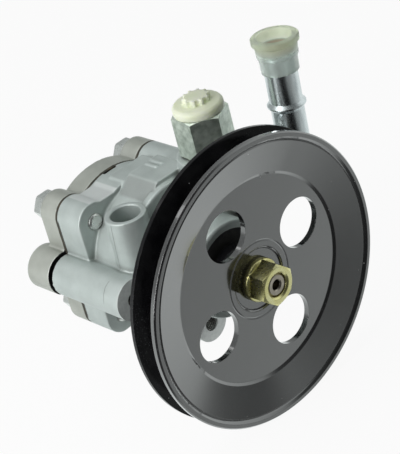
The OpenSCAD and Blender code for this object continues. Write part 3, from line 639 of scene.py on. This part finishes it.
wear(housing, housing_aluminium)
wear(cover, cover_aluminium)
cut_face = cut_aluminium().material
machined(housing, [(LEFT, FRONT, BOSS_FACE), (LOWER, FRONT, EAR_FACE + 0.5)], cut_face)
machined(cover, [(REAR, BACK, LOBE_FACE)], cut_face)
wear(*threads, steel)
wear("pulley_front", "pulley_hub", paint)
wear("pulley_rear", groove_paint)
wear(nut, nut_zinc)
wear("drive_shaft", zinc("worn steel", (0.33, 0.30, 0.25), (0.45, 0.41, 0.35), 0.25, 0.4))
balls = [f"ball_{i}" for i in range(1, 9)]
vanes = [f"vane_{i}" for i in range(1, 11)]
wear("dowel_pins", "bearing_outer", "bearing_inner", "valve_spool", *balls, steel)
wear("front_side_plate", "cam_ring", "rear_side_plate", "spring_washer", "rotor", "rotor_ring",
     "bearing_ring", "woodruff_key", spring, *vanes, hard_steel)
wear("rear_bush", "bearing_cage", metal_bronze)
wear("plate_seal", "oil_seal", "union_seal", "pipe_seal", rubber_black)
wear("joint_gasket", gasket_sheet())
wear("cover_bolts", "pipe_bolt", bolt_zinc)
wear("pressure_union", union_zinc)
wear("suction_pipe", "pipe_flange", pipe_zinc)
wear(plug, plastic("milky plastic", (0.84, 0.91, 0.66), (0.90, 0.95, 0.75), 0.0, 0.6))
hose_end = MOUNTS["suction_pin"]
cap_disc = [p / MM + 12.6 * a for p, a in zip(hose_end["pos_m"], hose_end["axis"])]
wear("suction_cap", plastic("cream plastic", (0.80, 0.87, 0.67), (0.86, 0.92, 0.75), 0.72, 0.0, cap_disc,
                            (hose_end["pos_m"], hose_end["axis"])))


# Stage

FLOOR_Z = -70.5 * MM
FLOOR_GLOW = 0.93  # share of the floor that is plain white to the camera
WHITE = (1, 1, 1, 1)
DARK_SIDE = (-0.35, -0.937, 0.0)  # in front of the pulley
LEFT_SIDE = (-0.306, 0.904, 0.3)
PATCH_SIDE = (0.74, -0.65, -0.19)
ROOM_LIGHT = 0.25  # strength of the room as light
WALL, PATCH, ASIDE = 0.45, 0.35, 0.22  # shares that the darker parts of the room show in mirrors
LAMP_AIM = Vector((0, 0.03, 0))


def combine(tree, operation, a, b):
    """A math node on the output a and on b, an output or a number."""
    node = tree.nodes.new("ShaderNodeMath")
    node.operation = operation
    tree.links.new(a, node.inputs[0])
    if isinstance(b, bpy.types.NodeSocket):
        tree.links.new(b, node.inputs[1])
    else:
        node.inputs[1].default_value = b
    return node.outputs[0]


def seen_rays(tree):
    """1 for what the camera, metal and glass see; 0 for light on the object."""
    path = tree.nodes.new("ShaderNodeLightPath")
    total = path.outputs["Is Camera Ray"]
    for name in ("Is Glossy Ray", "Is Transmission Ray"):
        total = combine(tree, "MAXIMUM", total, path.outputs[name])
    return total


def mixed(tree, share, a, b):
    """A shader that is a where share is 0 and b where it is 1."""
    node = tree.nodes.new("ShaderNodeMixShader")
    for socket, output in zip(node.inputs, (share, a, b)):
        tree.links.new(output, socket)
    return node.outputs[0]


def white_floor():
    """Pale floor; what the metal and the paint mirror is the room around it."""
    bm = bmesh.new()
    bmesh.ops.create_circle(bm, cap_ends=True, segments=64, radius=6.0)
    floor = object_from(bm, "floor")
    floor.location.z = FLOOR_Z
    material = bpy.data.materials.new("pale floor")
    material.use_nodes = True
    tree = material.node_tree
    shader = tree.nodes["Principled BSDF"]
    shader.inputs["Base Color"].default_value = (0.85, 0.85, 0.85, 1)
    shader.inputs["Roughness"].default_value = 0.9
    glow = tree.nodes.new("ShaderNodeEmission")
    glow.inputs["Color"].default_value = WHITE
    glow.inputs["Strength"].default_value = 1.0
    share = combine(tree, "MULTIPLY", seen_rays(tree), FLOOR_GLOW)
    surface = mixed(tree, share, shader.outputs[0], glow.outputs[0])
    tree.links.new(surface, tree.nodes["Material Output"].inputs["Surface"])
    floor.data.materials.append(material)
    floor.visible_glossy = False


def studio_world():
    """White to the camera; a bright room that falls dark in front of the pulley to mirrors and as light."""
    world = bpy.data.worlds.new("studio")
    world.use_nodes = True
    tree = world.node_tree
    toward = tree.nodes.new("ShaderNodeVectorMath")
    toward.operation = "DOT_PRODUCT"
    toward.inputs[1].default_value = DARK_SIDE
    tree.links.new(tree.nodes.new("ShaderNodeTexCoord").outputs["Generated"], toward.inputs[0])
    fall = tree.nodes.new("ShaderNodeMapRange")
    for key, value in {"From Min": 0.1, "From Max": 0.85, "To Min": 1.0, "To Max": 0.25}.items():
        fall.inputs[key].default_value = value
    tree.links.new(toward.outputs["Value"], fall.inputs["Value"])

    def share(axis, start, end, low):
        """1, falling to low for directions from start to end along axis."""
        dot = tree.nodes.new("ShaderNodeVectorMath")
        dot.operation = "DOT_PRODUCT"
        dot.inputs[1].default_value = axis
        tree.links.new(toward.inputs[0].links[0].from_socket, dot.inputs[0])
        step = tree.nodes.new("ShaderNodeMapRange")
        step.interpolation_type = "SMOOTHSTEP"
        for key, value in {"From Min": start, "From Max": end, "To Min": 1.0, "To Max": low}.items():
            step.inputs[key].default_value = value
        tree.links.new(dot.outputs["Value"], step.inputs["Value"])
        return step.outputs["Result"]

    wall = combine(tree, "MAXIMUM", share(BACK, 0.3, 0.6, WALL), share(UP, -0.05, 0.2, WALL))
    patch = share(PATCH_SIDE, 0.95, 0.995, PATCH)
    aside = combine(tree, "MAXIMUM", share(DARK_SIDE, 0.3, 0.5, ASIDE), share(LEFT_SIDE, -0.86, -0.74, ASIDE))
    seen = fall.outputs["Result"]
    for part in (aside, wall, patch):
        seen = combine(tree, "MULTIPLY", seen, part)
    light = tree.nodes["Background"]
    light.inputs["Color"].default_value = (0.95, 0.98, 1.0, 1)
    tree.links.new(combine(tree, "MULTIPLY", fall.outputs["Result"], ROOM_LIGHT), light.inputs["Strength"])
    room = tree.nodes.new("ShaderNodeBackground")
    room.inputs["Color"].default_value = (0.955, 1.0, 0.99, 1)
    tree.links.new(seen, room.inputs["Strength"])
    white = tree.nodes.new("ShaderNodeBackground")
    white.inputs["Color"].default_value = WHITE
    mirrored = mixed(tree, seen_rays(tree), light.outputs[0], room.outputs[0])
    to_camera = tree.nodes.new("ShaderNodeLightPath").outputs["Is Camera Ray"]
    surface = mixed(tree, to_camera, mirrored, white.outputs[0])
    tree.links.new(surface, tree.nodes["World Output"].inputs["Surface"])
    bpy.context.scene.world = world


def softbox(name, place, size, power):
    data = bpy.data.lights.new(name, "AREA")
    data.shape = "RECTANGLE"
    data.size, data.size_y = size
    data.energy = power
    lamp = bpy.data.objects.new(name, data)
    lamp.location = place
    lamp.rotation_euler = (LAMP_AIM - Vector(place)).to_track_quat("-Z", "Y").to_euler()
    bpy.context.scene.collection.objects.link(lamp)


def camera():
    """The camera fitted to the photograph's pulley."""
    data = bpy.data.cameras.new("camera")
    data.sensor_fit = "VERTICAL"
    data.sensor_height = 36
    data.lens = 140.42
    data.clip_start, data.clip_end = 0.01, 50
    eye = bpy.data.objects.new("camera", data)
    right = Vector((0.69003634, -0.68817137, -0.22420975))
    up = Vector((0.49976751, 0.22896062, 0.83534991))
    back = right.cross(up)
    turn = Matrix((right, up, back)).transposed().to_4x4()
    eye.matrix_world = Matrix.Translation((-0.430435, -0.53513, 0.432025)) @ turn
    bpy.context.scene.collection.objects.link(eye)
    bpy.context.scene.camera = eye


white_floor()
studio_world()
softbox("top", (-0.25, 0.25, 0.9), (0.8, 0.8), 2.6)
softbox("left", (-0.9, 0.05, 0.34), (0.5, 0.7), 6.0)
camera()
bpy.context.scene.view_settings.view_transform = "Standard"
